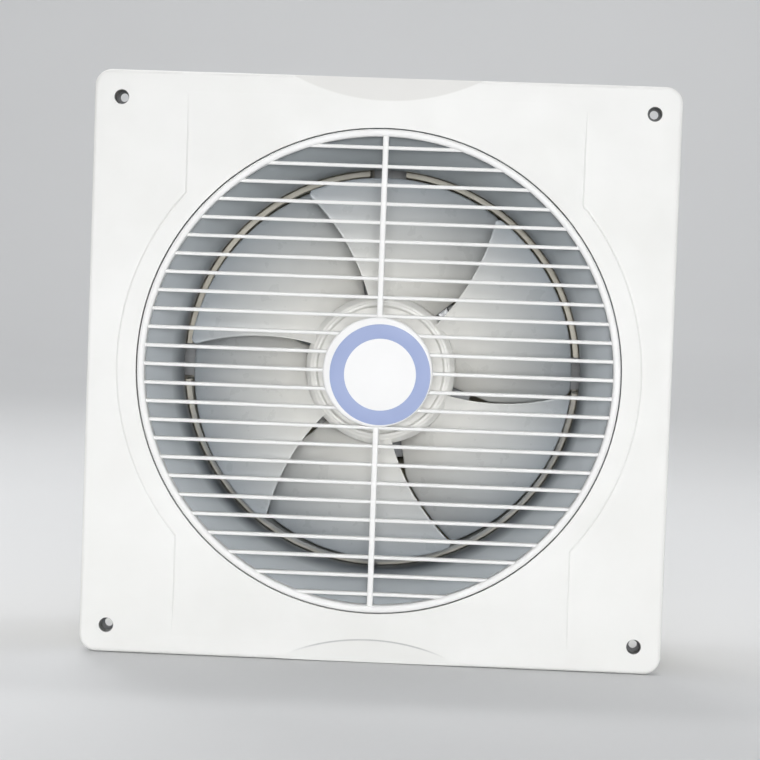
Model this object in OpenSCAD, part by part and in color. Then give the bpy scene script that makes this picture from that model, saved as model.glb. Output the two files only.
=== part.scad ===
// Square wall exhaust fan with a round grille, an axial impeller and an outlet shutter.
// Every piece is drawn on a bench frame: x right, y up, z towards the room, wall plane at z = 0.
// The last step turns the bench frame so that z points along -Y and height along +Z.

/* [Front panel] */
// Side of the square front panel
panel_side = 300; // [286:1:320]
// Height of the panel's front face over the wall
panel_depth = 12; // [10.5:0.5:16]
// Wall thickness of the panel
panel_wall = 2.4; // [1.8:0.1:3]
// Radius of the panel's corners in front view
panel_corner_r = 8.7; // [5:0.1:14]
// Radius of the rounded front edge
panel_edge_r = 2; // [1:0.1:2.4]
// Height of the raised field over the front face
relief_rise = 0.8; // [0.4:0.1:1.5]
// Width of the raised ring round the grille hole
relief_margin = 9.4; // [6:0.2:12]
// Width of the upright raised band
relief_band_w = 202; // [180:1:220]
// Width of the sloped edge of the raised field
relief_slope = 1; // [0.4:0.1:2]
// Length over which the raised band fades out near an edge
relief_fade = 22; // [10:1:30]
// Width of the finger scoop at the top and bottom edge
scoop_w = 98; // [70:1:110]
// Height of the finger scoop
scoop_h = 11.8; // [8:0.2:16]
// Depth of the finger scoop at the edge
scoop_depth = 1.9; // [1:0.1:2.2]
// Height of the sharp step along the scoop's arc
scoop_step = 0.6; // [0.2:0.1:0.8]
// Distance of the wall screw holes from the panel's edges
hole_inset = 14; // [12:0.5:18]
// Diameter of the wall screw holes
wall_screw_d = 4.4; // [3.6:0.1:5]
// Diameter of the recess for a wall screw's head
head_recess_d = 7.4; // [6.5:0.1:8.5]
// Thickness of the floor under a wall screw's head
recess_floor = 2.2; // [1.6:0.1:3]
// Wall thickness round the head recess
boss_wall = 1.8; // [1.4:0.1:2.4]

/* [Inlet funnel] */
// Diameter of the hole that holds the grille
grille_hole_d = 249.2; // [246:0.2:254]
// Width of the ledge that the grille sits on
ledge_w = 3.8; // [3.4:0.1:5]
// Thickness of that ledge
ledge_t = 2.5; // [2:0.1:3.5]
// Wall thickness of the ring round the grille hole
seat_wall = 2.5; // [1.8:0.1:3]
// Depth of the curved part of the funnel
funnel_drop = 26; // [22:0.5:30]
// Length of the straight lip at the funnel's end
lip_len = 6; // [4:0.5:9]
// Wall thickness of the funnel
funnel_wall = 2.3; // [1.8:0.1:2.8]
// Gap between the funnel's lip and the casing's ring
lip_gap = 0.4; // [0.3:0.1:3]

/* [Grille] */
// Gap between the grille and its hole
grille_gap = 0.7; // [0.4:0.1:1]
// Width of the grille's outer ring
grille_ring_w = 3.7; // [3:0.1:5]
// Height of the grille's ring over the raised field
grille_proud = 1; // [0.4:0.1:2]
// Distance from bar to bar
bar_pitch = 9.54; // [8.5:0.02:12]
// Thickness of a bar
bar_t = 1.85; // [1.4:0.05:2.6]
// Depth of a bar
bar_depth = 4; // [3:0.1:5]
// Width of the upright rib
rib_w = 3; // [2.4:0.1:4]
// Diameter of the disc behind the badge
disc_d = 52; // [44:1:54]
// Width of a snap tongue
tongue_w = 10; // [7:0.5:14]
// Thickness of a snap tongue
tongue_t = 1.9; // [1.4:0.1:2.2]
// Length of a snap tongue behind the ring
tongue_len = 5; // [4:0.5:6]

/* [Badge] */
// Diameter of the badge plate
badge_d = 56.4; // [55:0.2:60]
// Thickness of the badge plate
badge_t = 2.8; // [2:0.1:4]
// Outer diameter of the coloured ring
badge_ring_d = 51.6; // [46:0.2:52]
// Width of the coloured ring
badge_ring_w = 7.4; // [5:0.1:9]
// Thickness of the coloured ring
badge_ring_t = 0.6; // [0.4:0.1:1]
// Offset of the coloured ring to the right
badge_shift_x = 1.3; // [0:0.1:1.3]
// Offset of the coloured ring downwards
badge_shift_y = 1.2; // [0:0.1:1.2]

/* [Impeller] */
// Diameter over the blade tips
impeller_d = 199.8; // [194:0.2:204]
// Number of blades
blade_count = 6; // [5:1:7]
// Axial depth of a blade
blade_depth = 30; // [24:1:34]
// Thickness of a blade
blade_t = 1.8; // [1.4:0.1:2.6]
// Angle by which a blade's front edge sweeps forward from root to tip
blade_sweep = 13.5; // [6:0.5:18]
// Share of the blade pitch that a blade covers at its root
root_cover = 0.92; // [0.7:0.01:0.96]
// Share of the blade pitch that a blade covers further out
tip_cover = 1.02; // [0.9:0.01:1.1]
// Distance of the blades' front edge in front of the funnel's lip
blade_reach = 13; // [9:0.5:14]
// Diameter of the hub
hub_d = 78; // [70:1:84]
// Wall thickness of the hub
hub_wall = 2.2; // [1.8:0.1:3]
// Diameter of the hub's centre boss
hub_boss_d = 18; // [15:0.5:21]
// Height of the spinner nut
spinner_h = 9; // [7:0.5:10]
// Diameter of the spinner nut
spinner_d = 24; // [20:0.5:28]

/* [Casing] */
// Gap between the blade tips and the casing's ring
tip_gap = 0.9; // [0.9:0.1:2.4]
// Wall thickness of the casing's ring
ring_wall = 2.9; // [1.8:0.1:3.6]
// Distance of the casing's ring behind the funnel's lip
ring_setback = 1; // [0.5:0.5:4]
// Wall thickness of the square sleeve
casing_wall = 2; // [1.6:0.1:3]
// Radius of the sleeve's outer corners
sleeve_corner_r = 3; // [2.6:0.1:3]
// Width of the front flange
flange_w = 6.5; // [6.2:0.1:7]
// Thickness of the front flange
flange_t = 2.4; // [2:0.1:3]
// Thickness of the deck that carries the ring
deck_t = 2.2; // [1.8:0.1:3]
// Height of the bosses that carry the bracket
bracket_boss_h = 8; // [6:0.5:10]
// Width of the notches in the ring
notch_w = 19; // [18.5:0.5:24]
// Depth of the sleeve behind the shutter's pivots
casing_tail = 6; // [4:0.5:14]
// Height of the casing screws above the fan axis
casing_screw_y = 95; // [80:1:105]

/* [Motor] */
// Diameter of the shaft
shaft_d = 8; // [7:0.1:9]
// Diameter of the motor
motor_d = 76; // [72:1:80]
// Length of the motor
motor_len = 48; // [46:1:54]
// Wall thickness of the motor shells
shell_wall = 1.5; // [1.2:0.1:2]
// Outer diameter of the shaft bushes
bush_d = 15; // [13:0.5:17]
// Diameter of the rotor core
rotor_d = 39.6; // [36:0.2:41]
// Length of the laminated cores
core_len = 24; // [18:1:26]
// Thickness of the bracket's sheet
bracket_t = 2; // [1.5:0.1:2.5]
// Width of a bracket arm
arm_w = 17; // [14:0.5:17.5]
// Distance of the motor bolts from the axis
bolt_r = 43; // [42.5:0.5:46]

/* [Shutter] */
// Thickness of a louvre
louvre_t = 1.5; // [1.2:0.1:2.2]
// Diameter of the round bead along a louvre's pivot edge
bead_d = 5.2; // [4.8:0.1:6.5]
// Diameter of a louvre's pivot pins
pivot_d = 3.5; // [3:0.1:4]
// Lean of a closed louvre from pivot to lower edge
louvre_lean = 4; // [3.6:0.1:6]
// Length of the levers that the link bar holds
lever_len = 13; // [11:0.5:14]
// Distance of the levers from the fan axis
lever_x = 94; // [70:1:105]
// Height of the closed strip above the first pivot
shutter_top_gap = 9; // [8.5:0.5:14]
// Height of the sill under the last louvre
sill_h = 9; // [6:0.5:14]

/* [Wiring] */
// Width of the terminal cover
cover_w = 58; // [54:1:60]
// Height of the terminal cover
cover_h = 33; // [33:0.5:34]
// Depth of the terminal cover
cover_depth = 36; // [32:1:38]
// Wall thickness of the terminal cover
cover_wall = 1.6; // [1.2:0.1:2]
// Bore of the cable grommet
grommet_bore = 7.5; // [5:0.5:8]
// Diameter of the motor lead
lead_d = 4.4; // [3.6:0.1:4.6]

/* [Hidden] */
$fn = 96;

// Clearances shared by several pieces
run_gap = 0.05;
fit_gap = 0.05;
loose_gap = 0.3;
cut = 1;

// Radii from the impeller outwards
tip_r = impeller_d / 2;
ring_in_r = tip_r + tip_gap;
ring_out_r = ring_in_r + ring_wall;
lip_r = ring_out_r + lip_gap;
grille_hole_r = grille_hole_d / 2;
ledge_r = grille_hole_r - ledge_w;
seat_out_r = grille_hole_r + seat_wall;
relief_r = grille_hole_r + relief_margin;

// Levels along z, from the wall to the room
flange_back_z = 0.6;
flange_front_z = flange_back_z + flange_t;
ledge_back_z = flange_front_z + 0.5;
seat_z = ledge_back_z + ledge_t;
front_z = max(panel_depth, seat_z + 4.5);
field_z = front_z + relief_rise;
inner_z = front_z - panel_wall;
grille_back_z = seat_z + loose_gap;
grille_front_z = field_z + grille_proud;
bar_front_z = grille_front_z - 1.2;
bar_back_z = bar_front_z - bar_depth;

// Levels along z, from the wall outwards through the building's wall
arc_z = seat_z - funnel_drop;
lip_end_z = arc_z - lip_len;
ring_front_z = lip_end_z - ring_setback;
blade_front_z = lip_end_z + blade_reach;
blade_back_z = blade_front_z - blade_depth;
hub_back_z = blade_back_z - 1;
hub_shoulder_r = 4;
rest_angle = 41.3;
hub_recess = 1.4;
hub_face_z = blade_front_z - hub_recess;
hub_boss_end_z = hub_back_z + 6;
bracket_front_z = hub_back_z - 6;
bracket_back_z = bracket_front_z - bracket_t;
deck_front_z = bracket_back_z - bracket_boss_h;
deck_back_z = deck_front_z - deck_t;
motor_front_z = bracket_back_z;
motor_back_z = motor_front_z - motor_len;
pivot_z = motor_back_z - 9;
casing_end_z = pivot_z - casing_tail;

// Circular arc of the funnel, tangent to its straight lip
arc_turn = 2 * atan((ledge_r - lip_r) / funnel_drop);
arc_r = funnel_drop / sin(arc_turn);
arc_x = lip_r + arc_r;
arc_back_r = arc_r - funnel_wall;

// Outer radius of the funnel at the flange, which the square sleeve clears
flange_rise = flange_front_z - arc_z;
funnel_out_r = arc_x - sqrt(arc_back_r * arc_back_r - flange_rise * flange_rise);
ring_space = 15;
casing_in = max(funnel_out_r + 0.6, ring_out_r + ring_space);
casing_out = casing_in + casing_wall;
flange_half = casing_out + flange_w;
flange_screw_x = casing_out + flange_w / 2;

// Wall screw bosses
hole_spacing = panel_side - 2 * hole_inset;
boss_r = head_recess_d / 2 + boss_wall;

// Grille ring and snap tongues
grille_out_r = grille_hole_r - grille_gap;
grille_in_r = grille_out_r - grille_ring_w;
bar_reach_r = grille_out_r - grille_ring_w / 2;
bar_steps = floor((grille_in_r - bar_t) / bar_pitch);
tongue_in_r = ledge_r + 0.7;
barb_h = 2;

// Screws and bolts
screw_r = 1.45;
screw_hole_r = 1.5;
screw_pass_r = 1.75;
screw_head_r = 2.7;
screw_head_h = 1.7;
bolt_shank_r = 2;
bolt_pass_r = 2.15;
bolt_head_r = 3.5;
bolt_head_h = 2.8;
nut_r = 4;
nut_h = 3.2;
lug_r = 5.5;
lug_h = 6;
bolt_angles = [45, 135, 225, 315];

// Motor inside
shaft_r = shaft_d / 2;
bush_in_r = shaft_r + run_gap;
bush_r = bush_d / 2;
bearing_r = bush_r + 3.5;
motor_r = motor_d / 2;
shell_in_r = motor_r - shell_wall;
shell_edge_r = 4;
shell_split_z = motor_front_z - motor_len / 2;
bearing_front_z = motor_front_z + 8;
front_bearing_z = motor_front_z - 8;
rear_bearing_z = motor_back_z + 8;
bush_len = 10;
rear_bush_len = 6.9;
end_ring_w = 8;
core_mid_z = shell_split_z;
core_front_z = core_mid_z + core_len / 2;
core_back_z = core_mid_z - core_len / 2;
rotor_r = rotor_d / 2;
air_gap = 0.5;
stator_in_r = rotor_r + air_gap;
stator_out_r = shell_in_r - 0.3;
washer_t = 0.8;
plate_r = bolt_r + 6;
shaft_back_z = motor_back_z + 2;
shaft_front_z = hub_face_z + spinner_h - 2;
pin_r = 1.5;
pin_z = hub_boss_end_z + pin_r + 0.2;
pin_len = 16;
arm_end = casing_in - 3;
arm_screw_r = (ring_out_r + casing_in) / 2;
bracket_bite = 7;

// Shutter
bead_r = bead_d / 2;
pivot_r = pivot_d / 2;
shutter_h = 2 * casing_in - shutter_top_gap - sill_h;
louvre_pitch = shutter_h / 4;
pivot_top_y = casing_in - shutter_top_gap;
louvre_half = casing_in - 2.5;
louvre_len = louvre_pitch + 1.5;
louvre_bow = 1.2;
lever_angle = 110;
lever_t = 2;
lever_tip_r = 3;
peg_r = 1.5;
peg_hole_r = 1.58;
link_t = 2;
link_w = 6.4;
peg_depth = lever_len * sin(lever_angle);
peg_rise = -lever_len * cos(lever_angle);

// Wiring compartment in the lower left corner behind the deck
cover_gap = 0.3;
cover_x = -casing_in + cover_gap;
cover_y = -casing_in + cover_gap;
cover_back_z = deck_back_z - cover_depth;
cover_post = [cover_x + cover_w - 6, cover_y + 6];
strip_size = [30, 12, 12];
strip_at = [cover_x + 8, cover_y + 4];
strip_pitch = 10;
capacitor_size = [36, 11.5, 24];
capacitor_shift = 7;
wiring_gap = 2.5;
capacitor_at = [strip_at[0] + capacitor_shift, strip_at[1] + strip_size[1] + wiring_gap];
clip_t = 0.8;
clip_w = 8;
clip_foot = 4.4;
clip_screw_at = [capacitor_at[0] + capacitor_size[0] + clip_t + clip_foot / 2,
                 capacitor_at[1] + capacitor_size[1] / 2];
grommet_y = -108;
grommet_z = -84;
grommet_r = 5.9;
grommet_lip_r = 7.6;
lead_r = lead_d / 2;
lead_exit_z = motor_front_z - 9.4;
lead_clip_x = -76;
lead_arm_z = bracket_back_z - 2.6;
lead_deck_x = -112;
lead_deck_y = -54;
lead_deck_z = -66;

// Route of the motor lead, chosen by hand, from the motor to the terminal strip
lead_route = [
    [-33.9, 0, -61.4], [-40, 0, -61.4], [-45, 0, -60.3], [-50, 0, -57.5], [-55, 0, -55.4],
    [-60, 0, -54.6], [-68, 0, -54.6], [-76, 0, -54.6], [-84, 0, -54.6], [-90, 0, -56.5],
    [-95, 0, -60.5], [-98.5, -1, -65], [-102.5, -4, -68], [-107, -9, -68.3],
    [-110.5, -16, -67], [-112, -26, -66], [-112, -44, -66], [-112, -62, -66],
    [-112, -78, -66], [-112, -88, -66.5], [-110.6, -97, -67.5], [-110, -103.8, -68]
];

// Turns the bench frame into the mounted frame
module mounted() {
    rotate([90, 0, 0]) children();
}

// Square outline with round corners
module rounded_square(side, r) {
    square([side, side - 2 * r], center = true);
    square([side - 2 * r, side], center = true);
    for (sx = [-1, 1], sy = [-1, 1])
        translate([sx * (side / 2 - r), sy * (side / 2 - r)]) circle(r);
}

// Solid ring between two radii and two levels
module ring_solid(outer_r, inner_r, low_z, high_z) {
    translate([0, 0, low_z]) difference() {
        cylinder(r = outer_r, h = high_z - low_z);
        translate([0, 0, -cut]) cylinder(r = inner_r, h = high_z - low_z + 2 * cut);
    }
}

// Straight round pin along z between two levels
module rod(r, low_z, high_z) {
    translate([0, 0, low_z]) cylinder(r = r, h = high_z - low_z);
}

// Extrudes an outline drawn as (outward depth, height) along x
module along_x(len) {
    rotate([0, 90, 0]) linear_extrude(len, center = true) children();
}

// Section of the panel's edge: wall plane at y = 0, outer face at x = reach
module edge_section(reach) {
    square([reach - panel_edge_r, front_z]);
    square([reach, front_z - panel_edge_r]);
    translate([reach - panel_edge_r, front_z - panel_edge_r]) circle(panel_edge_r);
}

// Full block of the front panel with rounded corners and front edge
module panel_block() {
    side = panel_side - 2 * panel_corner_r;
    half = side / 2;
    translate([-half, -half, 0]) cube([side, side, front_z]);
    for (a = [0, 90, 180, 270]) rotate(a) {
        translate([half, half, 0]) rotate_extrude() edge_section(panel_corner_r);
        translate([half, 0, 0]) rotate([90, 0, 0])
            linear_extrude(side, center = true) edge_section(panel_corner_r);
    }
}

// Front panel hollowed from the wall side
module panel_shell() {
    difference() {
        panel_block();
        translate([0, 0, -cut]) linear_extrude(inner_z + cut)
            rounded_square(panel_side - 2 * panel_wall, panel_corner_r - panel_wall);
    }
}

// Raised field: a ring round the grille joined to an upright band that fades at both ends
module relief_field() {
    fade_end = panel_side / 2 - 10;
    fade_start = fade_end - relief_fade;
    base_z = front_z - 1;
    foot = relief_slope * (relief_rise + 1) / relief_rise;
    half = relief_band_w / 2;
    intersection() {
        union() {
            translate([0, 0, base_z])
                cylinder(r1 = relief_r + foot, r2 = relief_r, h = relief_rise + 1);
            rotate([90, 0, 0]) linear_extrude(panel_side, center = true) polygon([
                [-half - foot, base_z], [half + foot, base_z], [half, field_z], [-half, field_z]
            ]);
        }
        rotate([90, 0, 90]) linear_extrude(panel_side, center = true) polygon([
            [-fade_end, base_z], [-fade_end, front_z], [-fade_start, field_z],
            [fade_start, field_z], [fade_end, front_z], [fade_end, base_z]
        ]);
    }
}

// Cut for the finger scoops: a small step along the arc, then a slope to the panel's edge
module scoop_cut() {
    scoop_r = (scoop_w * scoop_w / 4 + scoop_h * scoop_h) / (2 * scoop_h);
    for (a = [0, 180]) rotate(a) translate([0, panel_side / 2 - scoop_h + scoop_r, front_z]) {
        translate([0, 0, -scoop_step]) cylinder(r = scoop_r, h = scoop_step + relief_rise + cut);
        translate([0, 0, -scoop_depth])
            cylinder(r1 = scoop_r - scoop_h, r2 = scoop_r, h = scoop_depth - scoop_step);
    }
}

// Thicker panel behind each scoop
module scoop_pads() {
    pad_h = scoop_h + panel_wall;
    for (s = [-1, 1]) translate([-scoop_w / 2, s > 0 ? panel_side / 2 - pad_h : -panel_side / 2 + 1,
                                 inner_z - scoop_depth])
        cube([scoop_w, pad_h - 1, scoop_depth + 0.1]);
}

// Grille seat with its ledge, then the curved inlet and its straight lip, behind the panel
module inlet_funnel() {
    color([0.72, 0.74, 0.76]) mounted() difference() {
        rotate_extrude() {
            translate([ledge_r, ledge_back_z]) square([seat_out_r - ledge_r, ledge_t]);
            translate([grille_hole_r, ledge_back_z]) square([seat_wall, inner_z - ledge_back_z]);
            translate([lip_r, lip_end_z]) square([funnel_wall, lip_len + 0.2]);
            intersection() {
                translate([arc_x, arc_z]) difference() {
                    circle(arc_r);
                    circle(arc_back_r);
                }
                translate([arc_x, arc_z]) polygon([
                    [0, 0], [-2 * arc_r, 0],
                    [-2.4 * arc_r * cos(arc_turn / 2), 2.4 * arc_r * sin(arc_turn / 2)],
                    [-2 * arc_r * cos(arc_turn), 2 * arc_r * sin(arc_turn)]
                ]);
            }
        }
        for (a = bolt_angles) rotate(a)
            translate([tongue_in_r - loose_gap, -tongue_w / 2 - cut, ledge_back_z - cut])
                cube([grille_hole_r - tongue_in_r + loose_gap, tongue_w + 2 * cut, ledge_t + 2 * cut]);
    }
}

// Short ribs between the grille seat and the rim, three at each side
module panel_ribs() {
    rib_t = 1.6;
    intersection() {
        for (side = [0, 90, 180, 270], a = [-20, 0, 20]) rotate(side + a)
            translate([seat_out_r + loose_gap, -rib_t / 2, ledge_back_z])
                cube([panel_side / 2, rib_t, inner_z - ledge_back_z + 0.2]);
        linear_extrude(front_z)
            square(panel_side - panel_wall, center = true);
    }
}

module front_panel() {
    spots = hole_spacing / 2;
    color("whitesmoke") mounted() difference() {
        union() {
            panel_shell();
            relief_field();
            panel_ribs();
            intersection() {
                scoop_pads();
                panel_block();
            }
            for (sx = [-1, 1], sy = [-1, 1]) {
                translate([sx * spots, sy * spots, 0]) cylinder(r = boss_r, h = inner_z + 0.2);
                translate([sx * flange_screw_x, sy * casing_screw_y, flange_front_z])
                    cylinder(r = flange_w / 2 - 0.1, h = inner_z - flange_front_z + 0.2);
            }
        }
        translate([0, 0, inner_z - cut]) cylinder(r = grille_hole_r, h = front_z);
        scoop_cut();
        for (sx = [-1, 1], sy = [-1, 1]) {
            translate([sx * spots, sy * spots, -cut]) cylinder(d = wall_screw_d, h = front_z);
            translate([sx * spots, sy * spots, recess_floor]) cylinder(d = head_recess_d, h = front_z);
            translate([sx * flange_screw_x, sy * casing_screw_y, flange_front_z - cut])
                cylinder(r = screw_hole_r, h = inner_z - flange_front_z + cut);
        }
    }
}

// One snap tongue with its small barb, at angle zero
module snap_tongue() {
    low_z = grille_back_z - tongue_len;
    translate([tongue_in_r, -tongue_w / 2, low_z])
        cube([tongue_t, tongue_w, tongue_len + cut]);
    translate([tongue_in_r + tongue_t, tongue_w / 2, low_z]) rotate([90, 0, 0])
        linear_extrude(tongue_w) polygon([[-0.2, 0], [0, 0], [0.7, barb_h], [-0.2, barb_h]]);
}

module grille() {
    ring_edge_r = 0.9;
    color("white") mounted() difference() {
        union() {
            rotate_extrude() {
                translate([grille_in_r, grille_back_z])
                    square([grille_ring_w, grille_front_z - ring_edge_r - grille_back_z]);
                translate([grille_in_r + ring_edge_r, grille_back_z])
                    square([grille_ring_w - 2 * ring_edge_r, grille_front_z - grille_back_z]);
                for (x = [grille_in_r + ring_edge_r, grille_out_r - ring_edge_r])
                    translate([x, grille_front_z - ring_edge_r]) circle(ring_edge_r);
            }
            for (k = [-bar_steps:bar_steps]) {
                reach = sqrt(bar_reach_r * bar_reach_r - k * k * bar_pitch * bar_pitch);
                translate([-reach, k * bar_pitch - bar_t / 2, bar_back_z])
                    cube([2 * reach, bar_t, bar_depth]);
            }
            translate([-rib_w / 2, -bar_reach_r, bar_back_z])
                cube([rib_w, 2 * bar_reach_r, bar_depth + 0.4]);
            translate([0, 0, bar_back_z]) cylinder(d = disc_d, h = bar_depth);
            for (a = bolt_angles) rotate(a) snap_tongue();
        }
        translate([0, 0, bar_front_z]) cylinder(d = badge_d + 1, h = bar_depth);
        for (sx = [-1, 1]) translate([sx * disc_d / 4, 0, bar_back_z - cut])
            cylinder(r = pin_r + fit_gap, h = bar_depth + 2 * cut);
    }
}

module badge_plate() {
    edge_r = 1;
    front = bar_front_z + badge_t;
    color("white") mounted() difference() {
        union() {
            rotate_extrude() {
                translate([0, bar_front_z]) square([badge_d / 2, badge_t - edge_r]);
                translate([0, bar_front_z]) square([badge_d / 2 - edge_r, badge_t]);
                translate([badge_d / 2 - edge_r, front - edge_r]) circle(edge_r);
            }
            for (sx = [-1, 1]) translate([sx * disc_d / 4, 0, bar_back_z + 0.5])
                cylinder(r = pin_r, h = bar_depth);
        }
        translate([badge_shift_x, -badge_shift_y, 0])
            ring_solid(badge_ring_d / 2 + fit_gap, badge_ring_d / 2 - badge_ring_w - fit_gap,
                       front - badge_ring_t, front + cut);
    }
}

module badge_ring() {
    front = bar_front_z + badge_t;
    color([0.64, 0.71, 0.88]) mounted() translate([badge_shift_x, -badge_shift_y, 0])
        ring_solid(badge_ring_d / 2, badge_ring_d / 2 - badge_ring_w, front - badge_ring_t, front + 0.1);
}

// Ring that runs close round the blade tips, with its notches for the bracket's arms
module blade_ring() {
    edge_r = 0.4;
    difference() {
        rotate_extrude() {
            translate([ring_in_r, deck_back_z]) square([ring_wall, ring_front_z - edge_r - deck_back_z]);
            translate([ring_in_r + edge_r, deck_back_z])
                square([ring_wall - 2 * edge_r, ring_front_z - deck_back_z]);
            for (r = [ring_in_r + edge_r, ring_out_r - edge_r])
                translate([r, ring_front_z - edge_r]) circle(edge_r, $fn = 24);
        }
        for (a = [0, 90, 180]) rotate(a)
            translate([ring_in_r - cut, -notch_w / 2, bracket_back_z - 0.5])
                cube([ring_wall + 2 * cut, notch_w, ring_front_z - bracket_back_z + 1]);
        rotate(270) translate([ring_in_r - cut, -notch_w / 2, bracket_back_z - 0.5])
            cube([ring_wall + 2 * cut, notch_w, bracket_t + 6]);
        rotate(270) translate([ring_out_r - 1.4, -1.5, ring_front_z - 8]) cube([3, 3, 9]);
    }
}

// Square sleeve with its front flange
module sleeve() {
    difference() {
        union() {
            translate([0, 0, casing_end_z]) linear_extrude(flange_front_z - casing_end_z)
                rounded_square(2 * casing_out, sleeve_corner_r);
            translate([0, 0, flange_back_z]) linear_extrude(flange_t)
                rounded_square(2 * flange_half, sleeve_corner_r);
        }
        translate([0, 0, casing_end_z - cut])
            linear_extrude(flange_front_z - casing_end_z + 2 * cut)
                rounded_square(2 * casing_in, max(0.4, sleeve_corner_r - casing_wall));
        for (sx = [-1, 1], sy = [-1, 1])
            translate([sx * hole_spacing / 2, sy * hole_spacing / 2, flange_back_z - cut])
                cylinder(r = boss_r + 1, h = flange_t + 2 * cut);
    }
}

// Closed strips above the first louvre and below the last one
module shutter_strips() {
    strip_t = 2;
    top_y = pivot_top_y + bead_r + 0.9;
    translate([-casing_in - 0.5, top_y, pivot_z - strip_t / 2])
        cube([2 * casing_in + 1, casing_in - top_y + 0.5, strip_t]);
    translate([-casing_in - 0.5, -casing_in - 0.5, pivot_z - bead_r])
        cube([2 * casing_in + 1, sill_h + 0.5, strip_t]);
}

// Square sleeve through the wall, with the strips that frame its shutter
module rear_casing() {
    color([0.86, 0.83, 0.74]) mounted() difference() {
        union() {
            sleeve();
            shutter_strips();
        }
        for (sx = [-1, 1], sy = [-1, 1])
            translate([sx * flange_screw_x, sy * casing_screw_y, flange_back_z]) {
                translate([0, 0, -cut]) cylinder(r = screw_pass_r, h = flange_t + 2 * cut);
                cylinder(r1 = screw_head_r + 0.1, r2 = screw_pass_r, h = screw_head_h);
            }
        for (n = [0:3]) translate([0, pivot_top_y - n * louvre_pitch, pivot_z]) rotate([0, 90, 0])
            cylinder(r = pivot_r + 0.08, h = 2 * casing_out + 2, center = true);
        translate([-casing_in - casing_wall / 2, grommet_y, grommet_z]) rotate([0, 90, 0])
            cylinder(r = grommet_r + fit_gap, h = casing_wall + 2, center = true);
    }
}

// Square deck that fills the sleeve, with the ring, the bracket's bosses and the cover's post
module ring_frame() {
    corner_r = max(0.4, sleeve_corner_r - casing_wall) + loose_gap;
    color([0.86, 0.83, 0.74]) mounted() difference() {
        union() {
            blade_ring();
            translate([0, 0, deck_back_z]) linear_extrude(deck_t) difference() {
                rounded_square(2 * casing_in, corner_r);
                circle(ring_in_r);
            }
            for (a = [0, 90, 180, 270]) rotate(a) translate([arm_screw_r, 0, deck_back_z])
                cylinder(r = 5, h = bracket_back_z - deck_back_z);
            translate([cover_post[0], cover_post[1], cover_back_z + cover_wall])
                cylinder(r = 3, h = cover_depth);
        }
        for (a = [0, 90, 180, 270]) rotate(a) translate([arm_screw_r, 0, deck_back_z - cut])
            cylinder(r = screw_hole_r, h = bracket_back_z - deck_back_z + 2 * cut);
        translate([cover_post[0], cover_post[1], cover_back_z + cover_wall - cut])
            cylinder(r = screw_hole_r, h = 10);
        translate([clip_screw_at[0], clip_screw_at[1], deck_back_z - cut])
            cylinder(r = screw_hole_r, h = deck_t + 2 * cut);
    }
}

// Four countersunk screws from the flange into the panel's posts
module casing_screws() {
    color("silver") mounted() for (sx = [-1, 1], sy = [-1, 1])
        translate([sx * flange_screw_x, sy * casing_screw_y, flange_back_z]) difference() {
            union() {
                cylinder(r1 = screw_head_r, r2 = screw_r, h = screw_head_h - 0.2);
                cylinder(r = screw_r, h = inner_z - flange_back_z - 0.6);
            }
            for (a = [0, 90]) rotate(a) translate([-1.6, -0.3, -cut]) cube([3.2, 0.6, cut + 0.8]);
        }
}

// Sheet metal spider: centre plate, four arms with folded edges
module motor_bracket() {
    fold_h = 4;
    fold_start = plate_r + 1;
    fold_len = ring_in_r - 3 - fold_start;
    color([0.59, 0.6, 0.62]) mounted() difference() {
        union() {
            rod(plate_r, bracket_back_z, bracket_front_z);
            for (a = [0, 90, 180, 270]) rotate(a) {
                translate([0, -arm_w / 2, bracket_back_z]) cube([arm_end, arm_w, bracket_t]);
                for (s = [-1, 1]) translate([fold_start, s > 0 ? arm_w / 2 - bracket_t : -arm_w / 2,
                                             bracket_back_z - fold_h])
                    cube([fold_len, bracket_t, fold_h + bracket_t / 2]);
            }
        }
        rod(bearing_r + 1, bracket_back_z - cut, bracket_front_z + cut);
        for (a = bolt_angles) rotate(a) translate([bolt_r, 0, bracket_back_z - cut])
            cylinder(r = bolt_pass_r, h = bracket_t + 2 * cut);
        for (a = [0, 90, 180, 270]) rotate(a) translate([arm_screw_r, 0, bracket_back_z - cut])
            cylinder(r = screw_pass_r, h = bracket_t + 2 * cut);
    }
}

// Pan head screw with a cross slot, head at z = 0 upwards
module pan_screw(shank_r, shank_len, head_r, head_h) {
    difference() {
        union() {
            translate([0, 0, -shank_len]) cylinder(r = shank_r, h = shank_len + 0.1);
            cylinder(r1 = head_r, r2 = head_r * 0.8, h = head_h);
        }
        for (a = [0, 90]) rotate(a)
            translate([-head_r * 0.55, -0.35, head_h * 0.45]) cube([head_r * 1.1, 0.7, head_h]);
    }
}

module bracket_screws() {
    color("silver") mounted() for (a = [0, 90, 180, 270]) rotate(a)
        translate([arm_screw_r, 0, bracket_front_z]) pan_screw(screw_r, bracket_t + bracket_bite, 3, 2);
}

// Motor half with round outer edge; closed end at z = 0, open end at z = len
module motor_half(len) {
    step_r = motor_r - shell_edge_r;
    rotate_extrude() difference() {
        union() {
            translate([0, shell_edge_r]) square([motor_r, len - shell_edge_r]);
            square([step_r, len]);
            translate([step_r, shell_edge_r]) circle(shell_edge_r);
        }
        translate([-cut, shell_wall + shell_edge_r]) square([shell_in_r + cut, len]);
        translate([-cut, shell_wall]) square([step_r - shell_wall + cut, len]);
    }
}

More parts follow.
